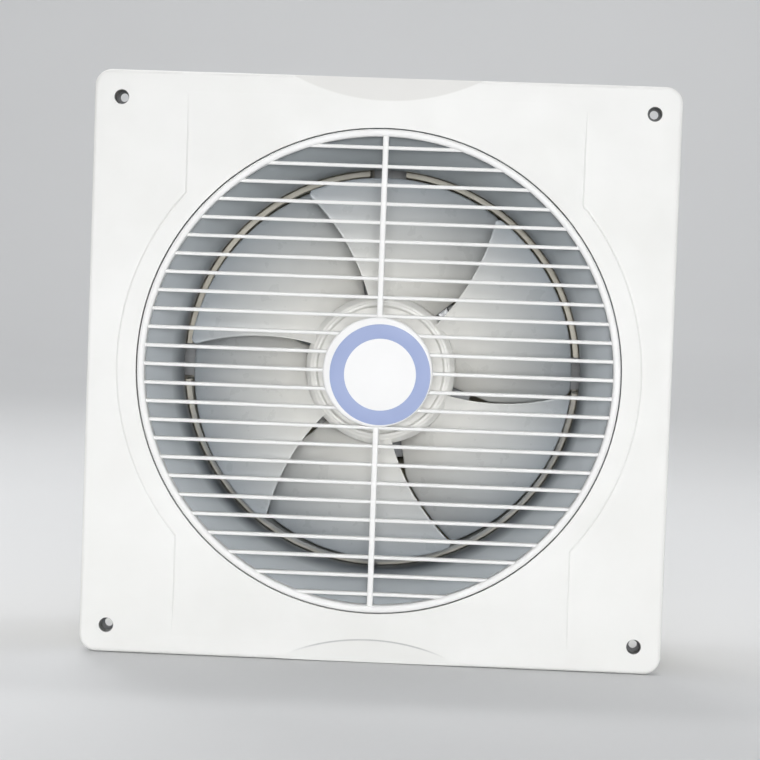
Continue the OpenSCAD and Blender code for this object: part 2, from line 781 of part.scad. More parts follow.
// Lugs that the motor bolts pass through, from z = 0 upwards
module motor_lugs() {
    for (a = bolt_angles) rotate(a) difference() {
        union() {
            translate([bolt_r, 0, 0]) cylinder(r = lug_r, h = lug_h);
            translate([shell_in_r + 0.4, -lug_r, shell_wall + 2])
                cube([bolt_r - shell_in_r, 2 * lug_r, lug_h - shell_wall - 2]);
        }
        translate([bolt_r, 0, -cut]) cylinder(r = bolt_pass_r, h = lug_h + 2 * cut);
    }
}

// Cooling slots through a motor half's closed end
module cooling_slots() {
    for (a = [0:45:315]) rotate(a) translate([bearing_r + 6, 0, -cut]) {
        translate([0, -2, 0]) cube([10, 4, shell_wall + 2 * cut]);
        for (x = [0, 10]) translate([x, 0, 0]) cylinder(r = 2, h = shell_wall + 2 * cut);
    }
}

module motor_front_shell() {
    color("silver") mounted() difference() {
        union() {
            translate([0, 0, motor_front_z]) rotate([180, 0, 0]) {
                difference() {
                    motor_half(motor_len / 2 - 0.1);
                    cooling_slots();
                }
                motor_lugs();
            }
            rod(bearing_r, front_bearing_z, bearing_front_z);
        }
        rod(bush_r + fit_gap, front_bearing_z - cut, front_bearing_z + bush_len);
        rod(shaft_r + 0.5, front_bearing_z - cut, bearing_front_z + cut);
        translate([-motor_r, 0, lead_exit_z]) rotate([0, 90, 0])
            cylinder(r = lead_r + 1.2, h = 12, center = true);
    }
}

module motor_rear_shell() {
    color("silver") mounted() difference() {
        union() {
            translate([0, 0, motor_back_z]) {
                difference() {
                    motor_half(motor_len / 2 - 0.1);
                    cooling_slots();
                }
                motor_lugs();
            }
            rod(bearing_r, motor_back_z + 0.2, rear_bearing_z);
        }
        rod(bush_r + fit_gap, rear_bearing_z - rear_bush_len - 0.1, rear_bearing_z + cut);
    }
}

module motor_bolts() {
    reach = motor_len + bracket_t + nut_h + 0.6;
    color("silver") mounted() for (a = bolt_angles) rotate(a)
        translate([bolt_r, 0, bracket_front_z]) pan_screw(bolt_shank_r, reach, bolt_head_r, bolt_head_h);
}

module motor_nuts() {
    color("silver") mounted() for (a = bolt_angles) rotate(a)
        translate([bolt_r, 0, motor_back_z - nut_h]) difference() {
            linear_extrude(nut_h) polygon([for (b = [0:60:300]) nut_r * [cos(b), sin(b)]]);
            translate([0, 0, -cut]) cylinder(r = bolt_shank_r + fit_gap, h = nut_h + 2 * cut);
        }
}

// Laminated ring with twelve winding slots open to the air gap
module stator_core() {
    slot_r = 2.6;
    slot_mid_r = stator_in_r + 5;
    color([0.45, 0.45, 0.47]) mounted() translate([0, 0, core_back_z]) difference() {
        cylinder(r = stator_out_r, h = core_len);
        translate([0, 0, -cut]) cylinder(r = stator_in_r, h = core_len + 2 * cut);
        for (a = [0:30:330]) rotate(a) {
            translate([slot_mid_r, 0, -cut]) cylinder(r = slot_r, h = core_len + 2 * cut);
            translate([stator_in_r - 2, -0.8, -cut]) cube([5, 1.6, core_len + 2 * cut]);
        }
    }
}

// Winding heads at both ends of the stator
module stator_windings() {
    low_r = stator_in_r + 3;
    high_r = motor_r - shell_edge_r - shell_wall - 0.6;
    edge_r = 2;
    head_h = min(7, (motor_len - core_len) / 2 - shell_wall - 1.5);
    color([0.72, 0.42, 0.22]) mounted() for (s = [-1, 1])
        translate([0, 0, core_mid_z + s * (core_len / 2 + 0.3)]) rotate([s > 0 ? 0 : 180, 0, 0])
            rotate_extrude() {
                translate([low_r, 0]) square([high_r - low_r, head_h - edge_r]);
                translate([low_r + edge_r, 0]) square([high_r - low_r - 2 * edge_r, head_h]);
                for (x = [low_r + edge_r, high_r - edge_r]) translate([x, head_h - edge_r]) circle(edge_r);
            }
}

module front_bush() {
    color([0.72, 0.55, 0.3]) mounted()
        ring_solid(bush_r, bush_in_r, front_bearing_z, front_bearing_z + bush_len - 0.1);
}

module rear_bush() {
    color([0.72, 0.55, 0.3]) mounted()
        ring_solid(bush_r, bush_in_r, rear_bearing_z - rear_bush_len, rear_bearing_z);
}

module motor_shaft() {
    color("silver") mounted() difference() {
        union() {
            rod(shaft_r, shaft_back_z, shaft_front_z - 0.8);
            translate([0, 0, shaft_front_z - 0.8]) cylinder(r1 = shaft_r, r2 = shaft_r - 0.8, h = 0.8);
        }
        translate([0, 0, pin_z]) rotate([0, 90, 0])
            cylinder(r = pin_r + fit_gap / 2, h = 2 * shaft_d, center = true);
    }
}

// Squirrel cage rotor: laminated core with a cast ring at each end
module rotor_core() {
    ring_h = 3;
    color([0.6, 0.6, 0.62]) mounted() {
        ring_solid(rotor_r, shaft_r + fit_gap / 2, core_back_z, core_front_z);
        ring_solid(rotor_r - 0.8, rotor_r - end_ring_w, core_front_z - 0.2, core_front_z + ring_h);
        ring_solid(rotor_r - 0.8, rotor_r - end_ring_w, core_back_z - ring_h, core_back_z + 0.2);
    }
}

// Washers that take the shaft's end play at both bushes
module thrust_washers() {
    color([0.35, 0.3, 0.25]) mounted() {
        ring_solid(bush_r, bush_in_r, front_bearing_z - 0.1 - washer_t, front_bearing_z - 0.1);
        ring_solid(bush_r, bush_in_r, rear_bearing_z + 0.1, rear_bearing_z + 0.1 + washer_t);
    }
}

module drive_pin() {
    color("silver") mounted() translate([0, 0, pin_z]) rotate([0, 90, 0])
        cylinder(r = pin_r, h = pin_len, center = true);
}

// Angle of a blade's front edge at radius r, measured from the radius through its root
function front_angle(r) = blade_sweep * pow(max(0, (r - hub_d / 2) / (tip_r - hub_d / 2)), 1.15);

// Angle that a blade spans at radius r, growing over the first stretch from the hub
function blade_span(r) =
    360 / blade_count * (root_cover + (tip_cover - root_cover) * min(1, max(0, (r - hub_d / 2) / 20)));

// Height of the blade's middle surface at the share u from rear edge to front edge
function blade_z(u) = blade_back_z + 0.9 + (blade_depth - 1.8) * (u + 0.11 * sin(180 * u));

// Radius of the blade's outline at the share u, with its front tip corner taken off a little
function blade_tip(u) = tip_r - 2.4 * pow(max(0, (u - 0.9) / 0.1), 2);

// Half thickness of the blade at the share u
function blade_half_t(u) = blade_t / 2 * (0.5 + 0.5 * sin(180 * min(0.92, max(0.08, u))));

// Point of the blade: chord share u, span share v, side -1 rear or 1 front
function blade_point(u, v, side) =
    let (root_r = hub_d / 2 - hub_wall + 0.1,
         r = root_r + v * (blade_tip(u) - root_r),
         a = front_angle(r) - (1 - u) * blade_span(r))
    [r * cos(a), r * sin(a), blade_z(u) + side * blade_half_t(u)];

// One blade as a closed twisted sheet
module blade() {
    nu = 12;
    nv = 8;
    row = nv + 1;
    layer = (nu + 1) * row;
    grid = [for (side = [1, -1], i = [0:nu], j = [0:nv]) blade_point(i / nu, j / nv, side)];
    front_faces = [for (i = [0:nu - 1], j = [0:nv - 1]) let (p = i * row + j)
        each [[p, p + row, p + 1], [p + 1, p + row, p + row + 1]]];
    rear_faces = [for (i = [0:nu - 1], j = [0:nv - 1]) let (p = layer + i * row + j)
        each [[p, p + 1, p + row], [p + 1, p + row + 1, p + row]]];
    edge = concat([for (j = [0:nv]) j], [for (i = [1:nu]) i * row + nv],
                  [for (j = [nv - 1:-1:0]) nu * row + j], [for (i = [nu - 1:-1:1]) i * row]);
    count = len(edge);
    side_faces = [for (k = [0:count - 1]) let (p = edge[k], q = edge[(k + 1) % count])
        each [[p, q, q + layer], [p, q + layer, p + layer]]];
    polyhedron(grid, concat(front_faces, rear_faces, side_faces));
}

// Bell-shaped hub with its raised front ring, centre boss and inner ribs
module hub() {
    hub_r = hub_d / 2;
    boss_r2 = hub_boss_d / 2;
    skirt_in_r = hub_r - hub_wall;
    ring_r = hub_r - 4.8;
    face_r = ring_r - 1.6;
    back_h = hub_face_z - hub_wall - 0.3 - hub_back_z;
    rotate_extrude() difference() {
        union() {
            translate([0, hub_back_z]) square([hub_r, blade_front_z - hub_shoulder_r - hub_back_z]);
            translate([0, hub_back_z]) square([hub_r - hub_shoulder_r, blade_front_z - hub_back_z]);
            translate([hub_r - hub_shoulder_r, blade_front_z - hub_shoulder_r]) circle(hub_shoulder_r);
            translate([ring_r, blade_front_z - 0.3]) circle(0.9, $fn = 32);
        }
        translate([-cut, hub_face_z]) square([face_r + cut, hub_recess + cut]);
        translate([boss_r2, hub_back_z - cut]) square([skirt_in_r - boss_r2, back_h + cut]);
        translate([-cut, hub_back_z - cut]) square([boss_r2 + 2 * cut, hub_boss_end_z - hub_back_z + cut]);
        translate([-cut, hub_back_z - cut]) square([shaft_r + fit_gap + cut, blade_depth + 2 * cut]);
    }
    for (a = [30:60:330]) rotate(a)
        translate([boss_r2 - 0.5, -0.8, hub_face_z - hub_wall - 10])
            cube([skirt_in_r - boss_r2 + 1, 1.6, 10]);
}

module impeller() {
    color([0.8, 0.81, 0.81]) mounted() difference() {
        union() {
            hub();
            for (k = [0:blade_count - 1]) rotate(rest_angle + k * 360 / blade_count) blade();
        }
        translate([-hub_boss_d / 2 - cut, -pin_r - fit_gap, hub_boss_end_z - cut])
            cube([hub_boss_d + 2 * cut, 2 * (pin_r + fit_gap), pin_z + pin_r + fit_gap - hub_boss_end_z + cut]);
    }
}

// Domed nut with finger grips on the shaft's front end
module spinner_nut() {
    edge_r = 3;
    grip_r = 1.6;
    color([0.9, 0.9, 0.88]) mounted() translate([0, 0, hub_face_z]) difference() {
        rotate_extrude() {
            square([spinner_d / 2, spinner_h - edge_r]);
            square([spinner_d / 2 - edge_r, spinner_h]);
            translate([spinner_d / 2 - edge_r, spinner_h - edge_r]) circle(edge_r);
        }
        translate([0, 0, -cut]) cylinder(r = shaft_r + fit_gap, h = spinner_h - 2 + cut + 0.3);
        for (a = [0:45:315]) rotate(a) translate([spinner_d / 2 + 0.4, 0, -cut])
            cylinder(r = grip_r, h = spinner_h + 2 * cut);
    }
}

// Terminal strip with three poles
module terminal_strip() {
    color([0.93, 0.92, 0.88]) mounted()
        translate([strip_at[0], strip_at[1], deck_back_z - strip_size[2]]) difference() {
            cube(strip_size);
            for (n = [0:2], y = [3, 9]) translate([5 + n * strip_pitch, y, -cut]) {
                cylinder(r = 2.3, h = cut + 1.6);
                cylinder(r = 1.25, h = cut + 9);
            }
            for (n = [1, 2]) translate([n * strip_pitch - 0.6, -cut, -cut])
                cube([1.2, strip_size[1] + 2 * cut, cut + 3]);
        }
}

module strip_screws() {
    color([0.75, 0.62, 0.35]) mounted() for (n = [0:2], y = [3, 9])
        translate([strip_at[0] + 5 + n * strip_pitch, strip_at[1] + y, deck_back_z - strip_size[2] + 1.6])
            rotate([180, 0, 0]) pan_screw(1.2, 6.5, 2.1, 1.4);
}

module run_capacitor() {
    edge_r = 2;
    size = capacitor_size;
    color([0.85, 0.85, 0.86]) mounted()
        translate([capacitor_at[0], capacitor_at[1], deck_back_z - size[2]]) linear_extrude(size[2]) {
            translate([edge_r, 0]) square([size[0] - 2 * edge_r, size[1]]);
            translate([0, edge_r]) square([size[0], size[1] - 2 * edge_r]);
            for (x = [edge_r, size[0] - edge_r], y = [edge_r, size[1] - edge_r])
                translate([x, y]) circle(edge_r);
        }
}

// Strap over the capacitor with one screwed foot
module capacitor_clip() {
    size = capacitor_size;
    low_z = deck_back_z - size[2];
    left = capacitor_at[0];
    right = left + size[0];
    mid_y = capacitor_at[1] + size[1] / 2;
    color("silver") mounted() difference() {
        translate([0, mid_y + clip_w / 2, 0]) rotate([90, 0, 0]) linear_extrude(clip_w) polygon([
            [left - clip_t, deck_back_z], [left, deck_back_z], [left, low_z], [right, low_z],
            [right, deck_back_z], [right + clip_t + clip_foot, deck_back_z],
            [right + clip_t + clip_foot, deck_back_z - clip_t], [right + clip_t, deck_back_z - clip_t],
            [right + clip_t, low_z - clip_t], [left - clip_t, low_z - clip_t]
        ]);
        translate([clip_screw_at[0], clip_screw_at[1], deck_back_z - clip_t - cut])
            cylinder(r = screw_pass_r, h = clip_t + 2 * cut);
    }
}

module clip_screw() {
    color("silver") mounted() translate([clip_screw_at[0], clip_screw_at[1], deck_back_z - clip_t])
        rotate([180, 0, 0]) pan_screw(screw_r, clip_t + deck_t + 1.5, 2.1, 1.5);
}

// Lid over the wiring corner: it closes against two casing walls and the deck
module terminal_cover() {
    notch = lead_d + 1.2;
    color([0.84, 0.81, 0.72]) mounted() difference() {
        translate([cover_x, cover_y, cover_back_z]) cube([cover_w, cover_h, cover_depth]);
        translate([cover_x - cut, cover_y - cut, cover_back_z + cover_wall])
            cube([cover_w - cover_wall + cut, cover_h - cover_wall + cut, cover_depth]);
        translate([lead_deck_x - notch / 2, cover_y + cover_h - cover_wall - cut, deck_back_z - notch - 1.4])
            cube([notch, cover_wall + 2 * cut, notch + 2]);
        translate([cover_post[0], cover_post[1], cover_back_z - cut])
            cylinder(r = screw_pass_r, h = cover_wall + 2 * cut);
    }
}

module cover_screw() {
    color("silver") mounted() translate([cover_post[0], cover_post[1], cover_back_z])
        rotate([180, 0, 0]) pan_screw(screw_r, cover_wall + 8, 2.8, 2);
}

// Rubber grommet in the casing's left wall for the supply cable
module cable_grommet() {
    lip_t = 2.4;
    body_r = grommet_r;
    inner_x = -casing_in + lip_t;
    outer_x = -casing_out - lip_t;
    color([0.2, 0.2, 0.21]) mounted() translate([0, grommet_y, grommet_z]) rotate([0, 90, 0]) difference() {
        union() {
            rod(body_r, outer_x, inner_x);
            rod(grommet_lip_r, outer_x, -casing_out - 0.1);
            rod(grommet_lip_r, -casing_in + 0.1, inner_x);
        }
        rod(grommet_bore / 2, outer_x - cut, inner_x + cut);
    }
}

// Points of a smooth curve through the route, two for each stretch
function curve_point(p, t) =
    let (last = len(p) - 1, i = min(last - 1, floor(t)), u = t - i,
         a = p[max(0, i - 1)], b = p[i], c = p[i + 1], d = p[min(last, i + 2)])
    0.5 * ((2 * b) + (c - a) * u + (2 * a - 5 * b + 4 * c - d) * u * u
           + (3 * b - a - 3 * c + d) * u * u * u);
function unit(v) = v / norm(v);

// Tube of one round section swept along a route, with flat ends
module swept_tube(route, r, sides) {
    steps = 2 * (len(route) - 1);
    path = [for (k = [0:steps]) curve_point(route, k / 2)];
    dirs = [for (k = [0:steps]) unit(path[min(steps, k + 1)] - path[max(0, k - 1)])];
    up = [0.2, 0.5, 0.84];
    points = [for (k = [0:steps]) let (s = unit(cross(dirs[k], up)), w = cross(s, dirs[k]))
        for (n = [0:sides - 1]) path[k] + r * (cos(360 * n / sides) * s + sin(360 * n / sides) * w)];
    walls = [for (k = [0:steps - 1], n = [0:sides - 1])
        let (p = k * sides + n, q = k * sides + (n + 1) % sides)
        each [[p, p + sides, q], [q, p + sides, q + sides]]];
    first = [[for (n = [0:sides - 1]) n]];
    last = [[for (n = [sides - 1:-1:0]) steps * sides + n]];
    polyhedron(points, concat(walls, first, last));
}

module motor_lead() {
    color([0.25, 0.25, 0.27]) mounted() swept_tube(lead_route, lead_r, 10);
}

// Ring that lines the hole where the lead leaves the motor
module lead_grommet() {
    inner_r = lead_r + 0.1;
    hole_r = lead_r + 1.2 - fit_gap;
    color([0.2, 0.2, 0.21]) mounted() translate([0, 0, lead_exit_z]) rotate([0, 90, 0]) difference() {
        union() {
            rod(hole_r, -motor_r - 1.6, -shell_in_r + 0.1);
            rod(hole_r + 1.4, -motor_r - 1.6, -motor_r - 0.2);
        }
        rod(inner_r, -motor_r - 3, -shell_in_r + 3);
    }
}

// Saddle at the origin for a lead along x that runs drop below the face it is fixed to
module lead_saddle(drop, foot_w) {
    foot_t = 1.2;
    saddle_w = 6;
    side_w = 2 * lead_r + 2.8;
    low_z = -drop - lead_r - 1.2;
    difference() {
        union() {
            translate([-saddle_w / 2, -foot_w / 2, -foot_t]) cube([saddle_w, foot_w, foot_t]);
            translate([-saddle_w / 2, -side_w / 2, low_z]) cube([saddle_w, side_w, -low_z]);
        }
        translate([0, 0, -drop]) rotate([0, 90, 0])
            cylinder(r = lead_r + 0.1, h = saddle_w + 2, center = true);
    }
}

// Saddles that hold the lead in the arm's channel and on the deck
module lead_clips() {
    color([0.9, 0.9, 0.9]) mounted() {
        translate([lead_clip_x, 0, bracket_back_z])
            lead_saddle(bracket_back_z - lead_arm_z, arm_w - 2 * bracket_t - 0.4);
        translate([lead_deck_x, lead_deck_y, deck_back_z]) rotate(90)
            lead_saddle(deck_back_z - lead_deck_z, 12.6);
    }
}

// Outline of a louvre as (outward depth, height) from its pivot
module louvre_outline() {
    steps = 8;
    inner = [for (k = [0:steps]) let (s = k / steps)
        [bead_r - louvre_t + (louvre_lean - bead_r + louvre_t) * s + louvre_bow * sin(180 * s),
         -s * louvre_len]];
    outer = [for (k = [steps:-1:0]) [inner[k][0] + louvre_t, inner[k][1]]];
    polygon(concat(inner, outer));
    translate([bead_r + 0.4, -louvre_len]) square([louvre_lean - bead_r, louvre_len - louvre_pitch]);
    circle(bead_r);
}

// Louvre on its two pivot pins, with the lever and peg for the link bar
module louvre(n) {
    color([0.87, 0.84, 0.76]) mounted() translate([0, pivot_top_y - n * louvre_pitch, pivot_z]) {
        along_x(2 * louvre_half) louvre_outline();
        rotate([0, 90, 0]) cylinder(r = pivot_r, h = 2 * casing_out - 1, center = true);
        translate([lever_x + lever_t / 2, 0, 0]) along_x(lever_t) {
            translate([-peg_depth, peg_rise]) circle(lever_tip_r);
            polygon([[0, bead_r - 0.2], [0, -bead_r + 0.2], [-peg_depth, peg_rise - lever_tip_r + 0.1],
                     [-peg_depth, peg_rise + lever_tip_r - 0.1]]);
        }
        translate([lever_x + lever_t - 0.1, peg_rise, peg_depth]) rotate([0, 90, 0]) {
            cylinder(r = peg_r, h = link_t + 0.8);
            translate([0, 0, link_t + 0.7]) cylinder(r1 = peg_r + 0.5, r2 = peg_r - 0.3, h = 1);
        }
    }
}

module louvre_1() {
    louvre(0);
}

module louvre_2() {
    louvre(1);
}

module louvre_3() {
    louvre(2);
}

module louvre_4() {
    louvre(3);
}

// Flat bar that joins the four levers, so that the louvres open together
module link_bar() {
    top_y = pivot_top_y + peg_rise;
    length = 3 * louvre_pitch;
    color([0.87, 0.84, 0.76]) mounted()
        translate([lever_x + lever_t + 0.3 + link_t / 2, top_y, pivot_z + peg_depth]) along_x(link_t)
            difference() {
                union() {
                    translate([-link_w / 2, -length]) square([link_w, length]);
                    circle(d = link_w);
                    translate([0, -length]) circle(d = link_w);
                }
                for (n = [0:3]) translate([0, -n * louvre_pitch]) circle(peg_hole_r);
            }
}

front_panel();
inlet_funnel();
grille();
badge_plate();
badge_ring();
rear_casing();
ring_frame();
casing_screws();
motor_bracket();
bracket_screws();
motor_front_shell();
motor_rear_shell();
motor_bolts();
motor_nuts();
stator_core();
stator_windings();
front_bush();
rear_bush();
motor_shaft();
rotor_core();
thrust_washers();
drive_pin();
impeller();
spinner_nut();
terminal_strip();
strip_screws();
run_capacitor();
capacitor_clip();
clip_screw();
terminal_cover();
cover_screw();
cable_grommet();
motor_lead();
lead_grommet();
lead_clips();
louvre_1();
louvre_2();
louvre_3();
louvre_4();
link_bar();
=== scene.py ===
"""Looks of the square wall exhaust fan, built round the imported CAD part."""

import math

import bmesh
import bpy
from mathutils import Matrix, Vector


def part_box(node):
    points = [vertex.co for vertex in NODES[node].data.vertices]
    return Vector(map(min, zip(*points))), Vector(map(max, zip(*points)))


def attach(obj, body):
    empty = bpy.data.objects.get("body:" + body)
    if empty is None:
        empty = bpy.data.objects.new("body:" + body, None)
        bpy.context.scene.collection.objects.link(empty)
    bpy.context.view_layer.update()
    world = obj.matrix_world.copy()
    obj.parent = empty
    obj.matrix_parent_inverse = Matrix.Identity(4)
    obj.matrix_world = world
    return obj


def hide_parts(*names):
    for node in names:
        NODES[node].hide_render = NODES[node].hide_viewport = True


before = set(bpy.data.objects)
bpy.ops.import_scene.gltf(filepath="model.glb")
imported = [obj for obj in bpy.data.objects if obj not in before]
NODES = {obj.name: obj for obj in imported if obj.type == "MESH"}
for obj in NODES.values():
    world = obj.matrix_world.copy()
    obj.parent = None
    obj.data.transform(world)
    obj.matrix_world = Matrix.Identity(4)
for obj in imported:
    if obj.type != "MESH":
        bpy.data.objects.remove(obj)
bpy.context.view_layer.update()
MM = 0.001


# Geometry helpers. The bench frame of the CAD source has x right, y up and z towards the room.

def bench(x, y, z):
    """Point of the bench frame, in millimetres, in the world frame."""
    return Vector((x * MM, -z * MM, y * MM))


def reach_of(node):
    """Lowest and highest corners of a CAD node in millimetres of the bench frame."""
    low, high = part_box(node)
    return (Vector((low[0], low[2], -high[1])) / MM, Vector((high[0], high[2], -low[1])) / MM)


def add_object(name, data):
    """New object of the scene with the given mesh, camera or lamp."""
    made = bpy.data.objects.new(name, data)
    bpy.context.scene.collection.objects.link(made)
    return made


def add_piece(name, mesh_data, body, nodes, material, smooth_angle=40):
    """Makes an object from (points, faces), lets it ride on a body and stand for CAD nodes."""
    points, faces = mesh_data
    mesh = bpy.data.meshes.new(name)
    mesh.from_pydata([tuple(p) for p in points], [], faces)
    mesh.validate()
    work = bmesh.new()
    work.from_mesh(mesh)
    bmesh.ops.remove_doubles(work, verts=work.verts, dist=1e-7)
    bmesh.ops.recalc_face_normals(work, faces=work.faces)
    work.to_mesh(mesh)
    work.free()
    piece = add_object(name, mesh)
    mesh.shade_smooth()
    mesh.set_sharp_from_angle(angle=math.radians(smooth_angle))
    mesh.materials.append(material)
    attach(piece, body)
    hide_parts(*nodes)


def join(*parts):
    """One (points, faces) pair from several."""
    points, faces = [], []
    for part_points, part_faces in parts:
        base = len(points)
        points += list(part_points)
        faces += [tuple(base + i for i in face) for face in part_faces]
    return points, faces


def moved(part, shift=(0, 0), turn=0):
    """A bench part turned about the fan axis and shifted in the bench x and y."""
    c, s = math.cos(math.radians(turn)), math.sin(math.radians(turn))
    points = []
    for p in part[0]:
        x, y = p[0], p[2]
        points.append(Vector((c * x - s * y + shift[0] * MM, p[1], s * x + c * y + shift[1] * MM)))
    return points, part[1]


def lathe(profile, steps=192, closed=True):
    """Turns a profile of (radius, z) in millimetres about the fan axis."""
    rows = len(profile)
    on_axis = [radius < 1e-6 for radius, z in profile]
    points, faces = [], []
    for k in range(steps):
        a = 2 * math.pi * k / steps
        points += [bench(r * math.cos(a), r * math.sin(a), z) for r, z in profile]
        here, there = k * rows, (k + 1) % steps * rows
        for i in range(rows if closed else rows - 1):
            j = (i + 1) % rows
            if on_axis[i] and on_axis[j]:
                continue
            if on_axis[i]:
                faces.append((here + i, there + j, here + j))
            elif on_axis[j]:
                faces.append((here + i, there + i, here + j))
            else:
                faces.append((here + i, there + i, there + j, here + j))
    return points, faces


def spanned(first, last):
    """Closed part between two matching outlines."""
    count = len(first)
    faces = [(k, (k + 1) % count, (k + 1) % count + count, k + count) for k in range(count)]
    faces += [tuple(range(count)), tuple(range(2 * count - 1, count - 1, -1))]
    return first + last, faces


def rounded(corners, steps=5):
    """Closed profile through the corners (u, v, radius) with each corner rounded."""
    out = []
    for n, corner in enumerate(corners):
        p, radius = Vector(corner[:2]), corner[2]
        if radius == 0:
            out.append(tuple(p))
            continue
        a = Vector(corners[n - 1][:2]) - p
        b = Vector(corners[(n + 1) % len(corners)][:2]) - p
        angle = a.angle(b)
        reach = min(radius / math.tan(angle / 2), a.length * 0.49, b.length * 0.49)
        real = reach * math.tan(angle / 2)
        a.normalize()
        b.normalize()
        centre = p + (a + b).normalized() * (real / math.sin(angle / 2))
        start, end = p + a * reach - centre, p + b * reach - centre
        turn = start.angle_signed(end)
        for k in range(steps + 1):
            t = k / steps * turn
            c, s = math.cos(t), math.sin(t)
            # Blender's signed angle runs clockwise
            out.append((centre.x + c * start.x + s * start.y, centre.y - s * start.x + c * start.y))
    return out


# Materials, all procedural. Each colour is written as it shows in sRGB, from 0 to 255.

NOISE_LOW, NOISE_HIGH = 0.3, 0.7


def linear(rgb):
    """sRGB values as a linear colour."""
    out = []
    for v in rgb:
        v = v / 255
        out.append(v / 12.92 if v <= 0.04045 else ((v + 0.055) / 1.055) ** 2.4)
    return (*out, 1)


class Shade:
    """Small builder for one node material on object coordinates in metres."""

    def __init__(self, name, metallic=0.0):
        self.mat = bpy.data.materials.new(name)
        self.mat.use_nodes = True
        self.tree = self.mat.node_tree
        self.bsdf = self.tree.nodes["Principled BSDF"]
        self.bsdf.inputs["Metallic"].default_value = metallic
        self.coord = self.tree.nodes.new("ShaderNodeTexCoord").outputs["Object"]

    def node(self, kind, **settings):
        """New node with the given settings."""
        made = self.tree.nodes.new(kind)
        for key, value in settings.items():
            setattr(made, key, value)
        return made

    def link(self, a, b):
        """Links an output to an input."""
        self.tree.links.new(a, b)

    def across_and_up(self):
        """X and Z of a point, so its place in the fan's front view."""
        split = self.node("ShaderNodeSeparateXYZ")
        self.link(self.coord, split.inputs["Vector"])
        return split.outputs["X"], split.outputs["Z"]

    def stretched(self, scale):
        """Object coordinates stretched by a scale for each axis."""
        mapping = self.node("ShaderNodeMapping")
        mapping.inputs["Scale"].default_value = scale
        self.link(self.coord, mapping.inputs["Vector"])
        return mapping.outputs["Vector"]

    def noise(self, scale, detail=3.0, rough=0.5, vector=None):
        """Noise around 0.5."""
        made = self.node("ShaderNodeTexNoise")
        made.inputs["Scale"].default_value = scale
        made.inputs["Detail"].default_value = detail
        made.inputs["Roughness"].default_value = rough
        self.link(vector or self.coord, made.inputs["Vector"])
        return made.outputs["Fac"]

    def wave(self, scale, distortion=0.0, **settings):
        """Even rings or bands."""
        made = self.node("ShaderNodeTexWave", **settings)
        made.inputs["Scale"].default_value = scale
        made.inputs["Distortion"].default_value = distortion
        self.link(self.coord, made.inputs["Vector"])
        return made.outputs["Fac"]

    def edges(self, low, high):
        """Share of convex edge at a point, from the mesh's own curvature."""
        return self.spread(self.node("ShaderNodeNewGeometry").outputs["Pointiness"], low, high)

    def spread(self, value, low, high, out_low=0.0, out_high=1.0):
        """Value mapped from one range to another, held at its ends."""
        made = self.node("ShaderNodeMapRange")
        for key, number in (("From Min", low), ("From Max", high),
                            ("To Min", out_low), ("To Max", out_high)):
            made.inputs[key].default_value = number
        self.link(value, made.inputs["Value"])
        return made.outputs["Result"]

    def cloud(self, scale):
        """Share that drifts softly from 0 to 1."""
        return self.spread(self.noise(scale, 4.0), NOISE_LOW, NOISE_HIGH)

    def math(self, operation, a, b=None):
        """Math node on outputs or numbers."""
        made = self.node("ShaderNodeMath", operation=operation)
        for socket, value in zip(made.inputs, (a, b)):
            if value is None:
                continue
            if isinstance(value, (int, float)):
                socket.default_value = value
            else:
                self.link(value, socket)
        return made.outputs["Value"]

    def length(self, a, b):
        """Root of the sum of two squares."""
        squares = self.math("ADD", self.math("POWER", a, 2.0), self.math("POWER", b, 2.0))
        return self.math("SQRT", squares)

    def off(self, value, level):
        """Distance of a value's size from a level."""
        return self.math("SUBTRACT", self.math("ABSOLUTE", value), level)

    def mix(self, share, first, second):
        """Colour between two colours, each in sRGB or an output."""
        made = self.node("ShaderNodeMix", data_type="RGBA")
        self.link(share, made.inputs["Factor"])
        for socket, value in ((made.inputs[6], first), (made.inputs[7], second)):
            if isinstance(value, tuple):
                socket.default_value = linear(value)
            else:
                self.link(value, socket)
        return made.outputs[2]

    def colour(self, output):
        """Sets the base colour."""
        self.link(output, self.bsdf.inputs["Base Color"])

    def rough(self, output):
        """Sets the roughness."""
        self.link(output, self.bsdf.inputs["Roughness"])

    def uneven(self, scale, low, high, detail=3.0):
        """Roughness that drifts between two values."""
        self.rough(self.spread(self.noise(scale, detail), NOISE_LOW, NOISE_HIGH, low, high))

    def bump(self, height, strength, distance):
        """Relief of a distance in metres."""
        made = self.node("ShaderNodeBump")
        made.inputs["Strength"].default_value = strength
        made.inputs["Distance"].default_value = distance
        self.link(height, made.inputs["Height"])
        self.link(made.outputs["Normal"], self.bsdf.inputs["Normal"])

    def grain(self, distance, scale=1400, strength=0.35):
        """Fine grain of the surface."""
        self.bump(self.noise(scale, 2.0), strength, distance)


def moulded(name, rgb, shade_rgb, gloss=0.34, grain=0.00004, mottle=26):
    """Moulded plastic: soft mottling, fine mould grain and uneven gloss."""
    s = Shade(name)
    s.colour(s.mix(s.cloud(mottle), shade_rgb, rgb))
    s.uneven(mottle * 3, gloss, gloss + 0.08)
    s.grain(grain)
    return s.mat


# Places on the front panel in metres: the finger scoops' arcs, whose centres lie over and under
# the fan axis, and the wall screws
PANEL_HALF, SCOOP_W, SCOOP_DEPTH, WALL_SCREW = 0.15, 0.098, 0.0118, 0.136
SCOOP_R = (SCOOP_W ** 2 / 4 + SCOOP_DEPTH ** 2) / (2 * SCOOP_DEPTH)
SCOOP_CENTRE = PANEL_HALF - SCOOP_DEPTH + SCOOP_R


